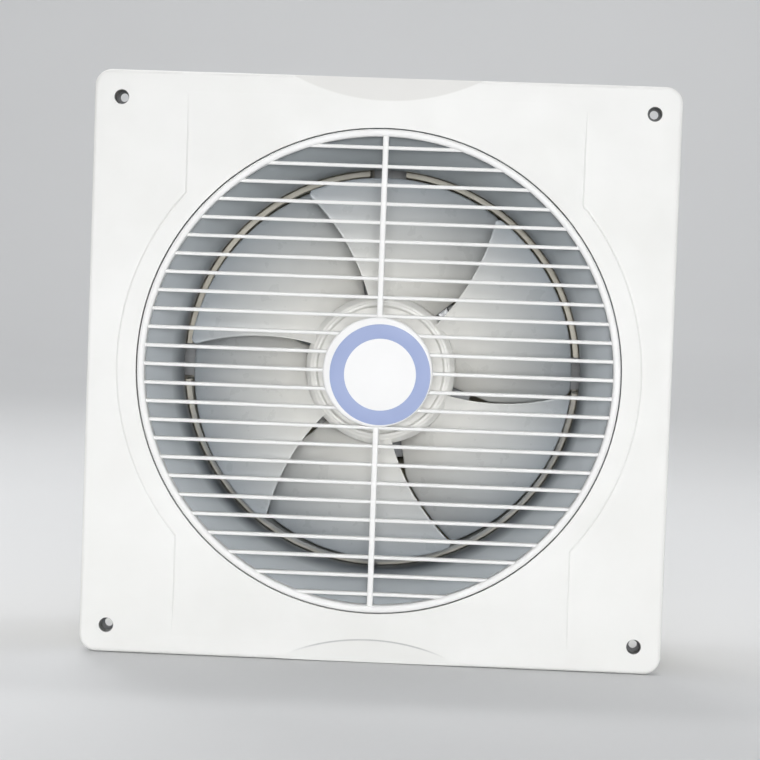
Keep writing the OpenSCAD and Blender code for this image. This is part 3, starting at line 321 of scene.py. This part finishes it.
def panel_plastic():
    """White panel plastic. Painted shade greys the upper finger scoop, lines the step of the lower
    one and darkens the recesses of the wall screws."""
    s = Shade("panel_white_plastic")
    x, z = s.across_and_up()
    white = s.mix(s.cloud(18), (239, 239, 236), (245, 245, 243))
    # Painted shade: the upper finger scoop is greyed.
    reach = s.length(x, s.math("SUBTRACT", z, SCOOP_CENTRE))
    scoop_shade = s.spread(reach, SCOOP_R - 0.0006, SCOOP_R + 0.0002, 0.75, 0.0)
    body = s.mix(scoop_shade, white, (226, 225, 222))
    # Painted shadow: a thin dark line along the lower scoop's step, fading towards the sides.
    low_reach = s.length(x, s.math("ADD", z, SCOOP_CENTRE))
    off_arc = s.math("ABSOLUTE", s.math("SUBTRACT", low_reach, SCOOP_R))
    fade = s.spread(s.math("ABSOLUTE", x), 0.026, 0.04, 0.6, 0.0)
    step_shadow = s.math("MULTIPLY", s.spread(off_arc, 0.0002, 0.0006, 1.0, 0.0), fade)
    step_shaded = s.mix(step_shadow, body, (150, 152, 154))
    # Painted shade: the recesses and holes of the wall screws are darkened.
    off_hole = s.length(s.off(x, WALL_SCREW), s.off(z, WALL_SCREW))
    s.colour(s.mix(s.spread(off_hole, 0.0036, 0.0039, 0.92, 0.0), step_shaded, (58, 61, 64)))
    s.uneven(60, 0.46, 0.56)
    s.grain(0.00003, 1500, 0.3)
    return s.mat


def impeller_plastic():
    """Pale grey plastic, warmer at the hub; painted shade makes it darker and cooler at the tips.
    """
    s = Shade("impeller_grey_plastic")
    radius, cloud = s.length(*s.across_and_up()), s.cloud(40)
    pale = s.mix(cloud, (238, 237, 232), (244, 243, 238))
    tip_shade = s.mix(cloud, (156, 163, 169), (164, 171, 177))
    # Painted shade: darker, cooler grey towards the blade tips.
    s.colour(s.mix(s.spread(radius, 0.050, 0.101), pale, tip_shade))
    s.uneven(120, 0.26, 0.34)
    s.grain(0.00004)
    return s.mat


def painted_shade_plastic(name, scale, clean_rgbs, top_shade_rgb, top_shade_span, low_shade_rgbs, near_span, low_span, gloss,
           grain):
    """Plastic with painted shade: darker towards the top, and darker at an inner radius low down. A
    span is two places in metres with the share of its colour at each."""
    s = Shade(name)
    x, z = s.across_and_up()
    cloud = s.cloud(scale)
    # Painted shade: the colour darkens towards the top.
    top_shaded = s.mix(s.spread(z, *top_shade_span), s.mix(cloud, *clean_rgbs), top_shade_rgb)
    # Painted shade: a darker colour at an inner radius low down.
    low_shade = s.mix(cloud, *low_shade_rgbs)
    near, low = s.spread(s.length(x, z), *near_span), s.spread(z, *low_span)
    s.colour(s.mix(s.math("MULTIPLY", near, low), top_shaded, low_shade))
    s.uneven(*gloss)
    s.grain(grain)
    return s.mat


def metal(name, rgb, shade_rgb, low=0.28, high=0.45, stretch=(1, 1, 1), scale=900):
    """Plated or rolled metal with fine stretched marks."""
    s = Shade(name, metallic=1.0)
    lines = s.noise(scale, 3.0, 0.6, s.stretched(stretch))
    s.colour(s.mix(s.spread(s.noise(45, 4.0), 0.35, 0.7), rgb, shade_rgb))
    s.rough(s.spread(lines, NOISE_LOW, NOISE_HIGH, low, high))
    s.bump(lines, 0.3, 0.00001)
    return s.mat


def painted(name, rgb, worn_rgb):
    """Enamel on sheet metal, slightly orange-peeled and worn at its edges."""
    s = Shade(name)
    s.colour(s.mix(s.edges(0.56, 0.66), rgb, worn_rgb))
    s.uneven(90, 0.36, 0.5)
    s.grain(0.00005, 700, 0.4)
    return s.mat


def rubber(name, rgb, pale_rgb):
    """Matt black rubber."""
    s = Shade(name)
    s.colour(s.mix(s.noise(120), rgb, pale_rgb))
    s.uneven(200, 0.6, 0.78, 2.0)
    s.grain(0.00005, 1800, 0.5)
    return s.mat


def wound_copper(name):
    """Enamelled wire wound in close turns."""
    s = Shade(name, metallic=0.9)
    turns = s.wave(160, 1.5, wave_type="RINGS", rings_direction="Y")
    s.colour(s.mix(turns, (120, 58, 30), (186, 104, 58)))
    s.rough(s.spread(turns, 0.0, 1.0, 0.42, 0.28))
    s.bump(turns, 0.6, 0.0002)
    return s.mat


def laminated(name):
    """Stacked steel sheets seen on their edges."""
    s = Shade(name, metallic=1.0)
    sheets = s.wave(320, wave_type="BANDS", bands_direction="Y")
    s.colour(s.mix(sheets, (88, 88, 92), (138, 138, 142)))
    s.rough(s.spread(sheets, 0.0, 1.0, 0.5, 0.36))
    s.bump(sheets, 0.5, 0.0001)
    return s.mat


PANEL = panel_plastic()
GRILLE = moulded("grille_white_plastic", (248, 248, 247), (243, 243, 242), gloss=0.42)
BADGE = moulded("badge_white_plastic", (247, 247, 247), (243, 243, 243), gloss=0.46, grain=0.00001)
BLUE = moulded("badge_blue_plastic", (158, 173, 214), (153, 168, 209), gloss=0.44, grain=0.00001)
# Grey funnel plastic with painted shade at the top and a painted shadow near its lip low down.
FUNNEL = painted_shade_plastic("funnel_grey_plastic", 18, ((170, 176, 180), (180, 185, 189)),
                (142, 148, 151), (0.03, 0.12, 0.0, 0.9), ((84, 90, 95), (98, 104, 109)),
                near_span=(0.1045, 0.1085, 1.0, 0.0), low_span=(-0.03, 0.07, 1.0, 0.15),
                gloss=(60, 0.34, 0.44), grain=0.00004)
BLADE = impeller_plastic()
# Ivory ring plastic with painted shade at the top and near its inner edge low down.
RING = painted_shade_plastic("ring_ivory_plastic", 60, ((198, 192, 177), (205, 199, 184)),
              (168, 165, 153), (0.06, 0.1, 0.0, 0.7), ((136, 139, 138), (146, 148, 146)),
              near_span=(0.1018, 0.103, 1.0, 0.45), low_span=(-0.045, 0.01, 1.0, 0.0),
              gloss=(180, 0.42, 0.5), grain=0.00006)
IVORY = moulded("casing_ivory_plastic", (214, 206, 184), (208, 200, 177), gloss=0.42,
                grain=0.00006, mottle=60)
SHEET = painted("bracket_grey_enamel", (150, 153, 157), (176, 178, 180))
ZINC = metal("zinc_plated_steel", (182, 184, 186), (160, 160, 156), low=0.4, high=0.56,
             stretch=(1, 1, 6))
SHELL = metal("drawn_steel_shell", (178, 180, 182), (158, 160, 162), stretch=(1, 8, 1), scale=400)
CORE = laminated("laminated_steel")
COPPER = wound_copper("winding_copper_wire")
BRONZE = metal("sintered_bronze", (176, 132, 78), (150, 108, 60), low=0.4, high=0.6, scale=1600)
BLACK = rubber("black_rubber", (32, 32, 33), (46, 46, 47))
FIBRE = moulded("washer_fibre", (92, 70, 50), (76, 58, 42), gloss=0.6)
NUT = moulded("nut_plastic", (232, 232, 226), (222, 222, 216), gloss=0.3)
STRIP = moulded("terminal_plastic", (232, 228, 212), (222, 218, 200), gloss=0.45)
CAPACITOR = moulded("capacitor_case_plastic", (206, 206, 208), (196, 196, 198), gloss=0.36)
NYLON = moulded("clip_nylon", (236, 236, 230), (226, 226, 220), gloss=0.4)

FINISH = {
    "front_panel": PANEL, "inlet_funnel": FUNNEL, "grille": GRILLE, "badge_plate": BADGE,
    "badge_ring": BLUE, "rear_casing": IVORY, "ring_frame": RING, "casing_screws": ZINC,
    "motor_bracket": SHEET, "bracket_screws": ZINC, "motor_front_shell": SHELL,
    "motor_rear_shell": SHELL, "motor_bolts": ZINC, "motor_nuts": ZINC, "stator_core": CORE,
    "stator_windings": COPPER, "front_bush": BRONZE, "rear_bush": BRONZE, "motor_shaft": ZINC,
    "rotor_core": CORE, "thrust_washers": FIBRE, "drive_pin": ZINC, "impeller": BLADE,
    "spinner_nut": NUT, "terminal_strip": STRIP, "strip_screws": BRONZE,
    "run_capacitor": CAPACITOR, "capacitor_clip": ZINC, "clip_screw": ZINC,
    "terminal_cover": IVORY, "cover_screw": ZINC, "cable_grommet": BLACK, "motor_lead": BLACK,
    "lead_grommet": BLACK, "lead_clips": NYLON, "louvre_1": IVORY, "louvre_2": IVORY,
    "louvre_3": IVORY, "louvre_4": IVORY, "link_bar": IVORY,
}
for name, material in FINISH.items():
    slots = NODES[name].data.materials
    if len(slots) == 0:
        slots.append(material)
    for n in range(len(slots)):
        slots[n] = material


# Impeller: bell-shaped hub and six smooth blades, on the CAD's own sizes in millimetres.

TIP_R, HUB_R, HUB_WALL, BORE_R, BOSS_R = 99.9, 39.0, 2.2, 4.05, 9.0
BLADE_COUNT, BLADE_SWEEP, BLADE_T, REST_ANGLE = 6, 13.5, 1.8, 41.3
impeller_low, impeller_high = reach_of("impeller")
HUB_BACK, BLADE_FRONT = impeller_low.z, impeller_high.z
BLADE_BACK, BOSS_END = HUB_BACK + 1, HUB_BACK + 6
HUB_FACE = BLADE_FRONT - 1.4

# Share of its sector that a blade covers at the root and the tip, and the way between the two
ROOT_COVER, TIP_COVER, COVER_REACH = 0.92, 1.02, 20
# Depth of the tip's rounded corners, and the share across the blade where each starts
LEAD_CORNER, LEAD_START = 2.6, 0.965
TAIL_CORNER, TAIL_START = 1.5, 0.03
# Bend of the swept edge, and the blade's camber as a share of its rise
SWEEP_POWER, CAMBER = 1.15, 0.11
# Shares of width and length taken by the rounded lip, and the root fillet's height and share
LIP_ACROSS, LIP_ALONG, FILLET, FILLET_SHARE = 0.012, 0.01, 0.9, 0.06
CELLS_ACROSS, CELLS_ALONG = 56, 30


def blade_centre(u, v):
    """Middle of the blade at a share across it and a share from root to tip."""
    tip = (TIP_R - LEAD_CORNER * max(0, (u - LEAD_START) / (1 - LEAD_START)) ** 2
           - TAIL_CORNER * max(0, (TAIL_START - u) / TAIL_START) ** 2)
    root = HUB_R - HUB_WALL + 0.1
    r = root + v * (tip - root)
    sweep = BLADE_SWEEP * max(0, (r - HUB_R) / (TIP_R - HUB_R)) ** SWEEP_POWER
    grown = min(1, max(0, (r - HUB_R) / COVER_REACH))
    span = 360 / BLADE_COUNT * (ROOT_COVER + (TIP_COVER - ROOT_COVER) * grown)
    a = math.radians(REST_ANGLE + sweep - (1 - u) * span)
    rise = BLADE_FRONT - BLADE_BACK - BLADE_T
    z = BLADE_BACK + BLADE_T / 2 + rise * (u + CAMBER * math.sin(math.pi * u))
    return Vector((r * math.cos(a), r * math.sin(a), z))


def blade_half(u, v):
    """Half the blade's thickness: fuller in the middle and at the root, round at the edges."""
    body = BLADE_T / 2 * (0.5 + 0.5 * math.sin(math.pi * min(0.92, max(0.08, u))))
    lip = min(u / LIP_ACROSS, (1 - u) / LIP_ACROSS, (1 - v) / LIP_ALONG, 1)
    root = FILLET * max(0, 1 - v / FILLET_SHARE) ** 2
    return body * math.sqrt(max(0.02, 1 - (1 - lip) ** 2)) + root


def shares(n):
    """Shares from 0 to 1, closer together near both ends."""
    waves = [math.cos(math.pi * k / n) for k in range(n + 1)]
    return [0.5 - 0.5 * math.copysign(abs(wave) ** 0.8, wave) for wave in waves]


def blade_part():
    """One blade as a closed sheet."""
    points = []
    for side in (1, -1):
        for u in shares(CELLS_ACROSS):
            for v in shares(CELLS_ALONG):
                p = blade_centre(u, v)
                points.append(bench(p.x, p.y, p.z + side * blade_half(u, v)))
    row = CELLS_ALONG + 1
    layer = (CELLS_ACROSS + 1) * row
    faces = []
    for i in range(CELLS_ACROSS):
        for j in range(CELLS_ALONG):
            p = i * row + j
            faces.append((p, p + row, p + row + 1, p + 1))
            faces.append((layer + p, layer + p + 1, layer + p + row + 1, layer + p + row))
    rim = ([j for j in range(CELLS_ALONG)] + [i * row + CELLS_ALONG for i in range(CELLS_ACROSS)]
           + [CELLS_ACROSS * row + j for j in range(CELLS_ALONG, 0, -1)]
           + [i * row for i in range(CELLS_ACROSS, 0, -1)])
    for k in range(len(rim)):
        p, q = rim[k], rim[(k + 1) % len(rim)]
        faces.append((p, q, q + layer, p + layer))
    return points, faces


def hub_part():
    """Bell-shaped hub with a stepped face, a boss behind it and the bore."""
    skirt, inner_face = HUB_R - HUB_WALL, HUB_FACE - 2.5
    return lathe(rounded([
        (BORE_R, HUB_FACE, 0.3), (32.6, HUB_FACE, 0.6), (33.5, BLADE_FRONT - 0.2, 0.6),
        (34.9, BLADE_FRONT - 0.2, 0.5), (35.2, BLADE_FRONT - 0.5, 0.3),
        (HUB_R - 2.6, BLADE_FRONT - 0.6, 2.0), (HUB_R, BLADE_FRONT - 3.4, 3.0),
        (HUB_R, HUB_BACK, 0.6), (skirt, HUB_BACK, 0.6), (skirt, inner_face, 1.5),
        (BOSS_R, inner_face, 1.2), (BOSS_R, BOSS_END, 0.5), (BORE_R, BOSS_END, 0.3),
    ]))


blades = [moved(blade_part(), turn=360 / BLADE_COUNT * k) for k in range(BLADE_COUNT)]
add_piece("impeller_body", join(hub_part(), *blades), "rotor", ["impeller"],
          BLADE, 50)


# Grille: outer ring, rounded bars, rib, centre disc and snap tongues.

RING_W, BAR_W, RIB_W, DISC_R = 3.7, 1.85, 3.0, 26
BAR_PITCH, BAR_ROWS = 9.54, 12
RING_OUT, GRILLE_FRONT = reach_of("grille")[1].x, reach_of("grille")[1].z
RING_IN, BAR_REACH = RING_OUT - RING_W, RING_OUT - RING_W / 2
GRILLE_BACK, BAR_FRONT = GRILLE_FRONT - 7.5, GRILLE_FRONT - 1.2
BAR_BACK = BAR_FRONT - 4
DISC_FRONT = BAR_FRONT - 0.02
TONGUE_IN, TONGUE_OUT, HOOK_OUT = 121.5, 123.4, 124.1
TONGUE_FRONT, TONGUE_BACK, HOOK_BACK, TONGUE_HALF_W = GRILLE_BACK + 0.5, 1.3, 3.3, 5.0
TONGUE_ANGLES = (45, 135, 225, 315)


def bar_part(reach, level, width, back, front, along_x=True):
    """Bar with rounded edges that runs through the fan's middle line at a level."""
    half = width / 2
    section = rounded([(-half, back, 0.35), (half, back, 0.35), (half, front, 0.8),
                       (-half, front, 0.8)])
    return spanned(*[[bench(s, level + u, z) if along_x else bench(level + u, s, z)
                      for u, z in section] for s in (-reach, reach)])


def tongue_part(angle):
    """Snap tongue behind the grille's ring."""
    section = [(TONGUE_IN, TONGUE_FRONT), (TONGUE_IN, TONGUE_BACK), (TONGUE_OUT, TONGUE_BACK),
               (HOOK_OUT, HOOK_BACK), (TONGUE_OUT, HOOK_BACK), (TONGUE_OUT, TONGUE_FRONT)]
    outlines = [[bench(u, s * TONGUE_HALF_W, z) for u, z in section] for s in (-1, 1)]
    return moved(spanned(*outlines), turn=angle)


grille_parts = [lathe(rounded([(RING_IN, GRILLE_BACK, 0.3), (RING_OUT, GRILLE_BACK, 0.3),
                               (RING_OUT, GRILLE_FRONT, 1.3), (RING_IN, GRILLE_FRONT, 1.5)],
                              steps=6), 256)]
for k in range(-BAR_ROWS, BAR_ROWS + 1):
    level = k * BAR_PITCH
    reach = math.sqrt(BAR_REACH ** 2 - level ** 2)
    grille_parts.append(bar_part(reach, level, BAR_W, BAR_BACK, BAR_FRONT))
grille_parts.append(bar_part(BAR_REACH, 0, RIB_W, BAR_BACK, BAR_FRONT + 0.4, along_x=False))
grille_parts.append(lathe([(0, BAR_BACK), (DISC_R - 0.6, BAR_BACK), (DISC_R, BAR_BACK + 0.5),
                           (DISC_R, DISC_FRONT), (0, DISC_FRONT)], closed=False))
grille_parts += [tongue_part(angle) for angle in TONGUE_ANGLES]
add_piece("grille_moulding", join(*grille_parts), "grille_unit", ["grille"],
          GRILLE, 50)


# Badge: white plate with a light blue ring let into it, the middle left plain.

PLATE_R, BAND_IN, BAND_OUT = 28.2, 18.4, 25.8
PLATE_FRONT = reach_of("badge_plate")[1].z
band_low, band_high = reach_of("badge_ring")
BAND_SHIFT = ((band_low.x + band_high.x) / 2, (band_low.y + band_high.y) / 2)
BAND_BACK, BAND_FRONT = PLATE_FRONT - 0.5, band_high.z - 0.01
plate = lathe(rounded([(0, BAR_FRONT, 0), (PLATE_R, BAR_FRONT, 0.2), (PLATE_R, PLATE_FRONT, 1.2),
                       (0, PLATE_FRONT, 0)], steps=8), closed=False)
add_piece("badge_disc", plate, "grille_unit", ["badge_plate"], BADGE)
band = lathe(rounded([(BAND_IN, BAND_BACK, 0), (BAND_OUT, BAND_BACK, 0),
                      (BAND_OUT, BAND_FRONT, 0.1), (BAND_IN, BAND_FRONT, 0.1)]))
add_piece("badge_band", moved(band, BAND_SHIFT), "grille_unit", ["badge_ring"], BLUE)


# Stage: pale floor that curves up into the backdrop.

def stage_sweep():
    """Sheet of paper under and behind the fan, in metres."""
    floor_z, front_y, back_y, bend, top_z, half_w = -0.1503, -6.0, 4.4, 1.4, 6.0, 7.0
    profile = [(front_y, floor_z), (back_y - bend, floor_z)]
    profile += [(back_y - bend + bend * math.sin(math.radians(a)),
                 floor_z + bend - bend * math.cos(math.radians(a))) for a in range(6, 91, 6)]
    profile.append((back_y, top_z))
    points = [(x, y, z) for x in (-half_w, half_w) for y, z in profile]
    count = len(profile)
    faces = [(k, k + 1, k + 1 + count, k + count) for k in range(count - 1)]
    mesh = bpy.data.meshes.new("studio_sweep")
    mesh.from_pydata(points, [], faces)
    mesh.shade_smooth()
    sweep = add_object("studio_sweep", mesh)
    s = Shade("studio_paper")
    s.colour(s.mix(s.noise(3), (214, 215, 216), (218, 219, 220)))
    s.uneven(200, 0.8, 0.9, 2.0)
    mesh.materials.append(s.mat)


stage_sweep()


# Camera at the photograph's angle, fitted to the screw holes, the grille and the inner ring.

CAMERA_AT, YAW, PITCH, ROLL = (0.066977, -1.4, 0.069905), 0.047303, -0.05318, 0.035335
FOCAL_PX, FRAME_PX, SENSOR = 2718.44, 760, 36


def place_camera():
    """Camera of the main picture."""
    data = bpy.data.cameras.new("photo_camera")
    camera = add_object("photo_camera", data)
    ahead = Vector((-math.sin(YAW) * math.cos(PITCH), math.cos(YAW) * math.cos(PITCH),
                    math.sin(PITCH)))
    right = Vector((math.cos(YAW), math.sin(YAW), 0))
    up = right.cross(ahead)
    side = math.cos(ROLL) * right + math.sin(ROLL) * up
    top = -math.sin(ROLL) * right + math.cos(ROLL) * up
    turn = Matrix((side, top, -ahead)).transposed().to_4x4()
    camera.matrix_world = Matrix.Translation(CAMERA_AT) @ turn
    data.sensor_width = SENSOR
    data.lens = FOCAL_PX * SENSOR / FRAME_PX
    data.clip_start, data.clip_end = 0.05, 50
    bpy.context.scene.camera = camera


place_camera()


# Soft studio light: a large lamp over the camera, weaker ones low down, above, at the sides and
# behind, and a large one for the backdrop.

def lamp(name, at, target, size, power, spread=180):
    """Rectangular lamp with its power in watts and its spread in degrees."""
    data = bpy.data.lights.new(name, "AREA")
    data.shape = "RECTANGLE"
    data.size, data.size_y = size
    data.energy = power
    data.spread = math.radians(spread)
    made = add_object(name, data)
    made.location = at
    made.rotation_mode = "QUATERNION"
    made.rotation_quaternion = (Vector(target) - Vector(at)).to_track_quat("-Z", "Y")


lamp("key_lamp", (0.12, -2.9, 0.42), (0, 0, -0.02), (1.1, 0.9), 3.65, 50)
lamp("low_lamp", (0.4, -2.5, 0.12), (0, 0, -0.1), (1.2, 0.4), 0.54, 40)
lamp("top_lamp", (0.1, -0.6, 2.2), (0, 0, 0), (1.6, 1.6), 7)
lamp("back_lamp", (-0.8, 2.2, 1.6), (0, 0.1, 0), (1.4, 1.4), 4.4, 70)
lamp("right_lamp", (1.9, 0.5, 1.5), (0, 0.06, 0), (1.4, 1.4), 2.4, 70)
lamp("left_lamp", (-1.9, 0.5, 1.5), (0, 0.06, 0), (1.4, 1.4), 2.4, 70)
lamp("backdrop_lamp", (0, 1.6, 3.8), (0, 4.4, 1.2), (4.0, 1.5), 105)


# World: weak on the fan, brighter where the camera sees it.

LIT_STRENGTH, SEEN_STRENGTH = 0.2, 0.62


def light_world():
    """Even pale surroundings."""
    world = bpy.data.worlds.new("studio_world")
    bpy.context.scene.world = world
    world.use_nodes = True
    nodes, links = world.node_tree.nodes, world.node_tree.links
    back = nodes["Background"]
    back.inputs["Color"].default_value = (0.97, 0.98, 1.0, 1)
    rays = nodes.new("ShaderNodeLightPath")
    glow = nodes.new("ShaderNodeMapRange")
    glow.inputs["To Min"].default_value = LIT_STRENGTH
    glow.inputs["To Max"].default_value = SEEN_STRENGTH
    links.new(rays.outputs["Is Camera Ray"], glow.inputs["Value"])
    links.new(glow.outputs["Result"], back.inputs["Strength"])


light_world()
bpy.context.scene.view_settings.view_transform = "Standard"
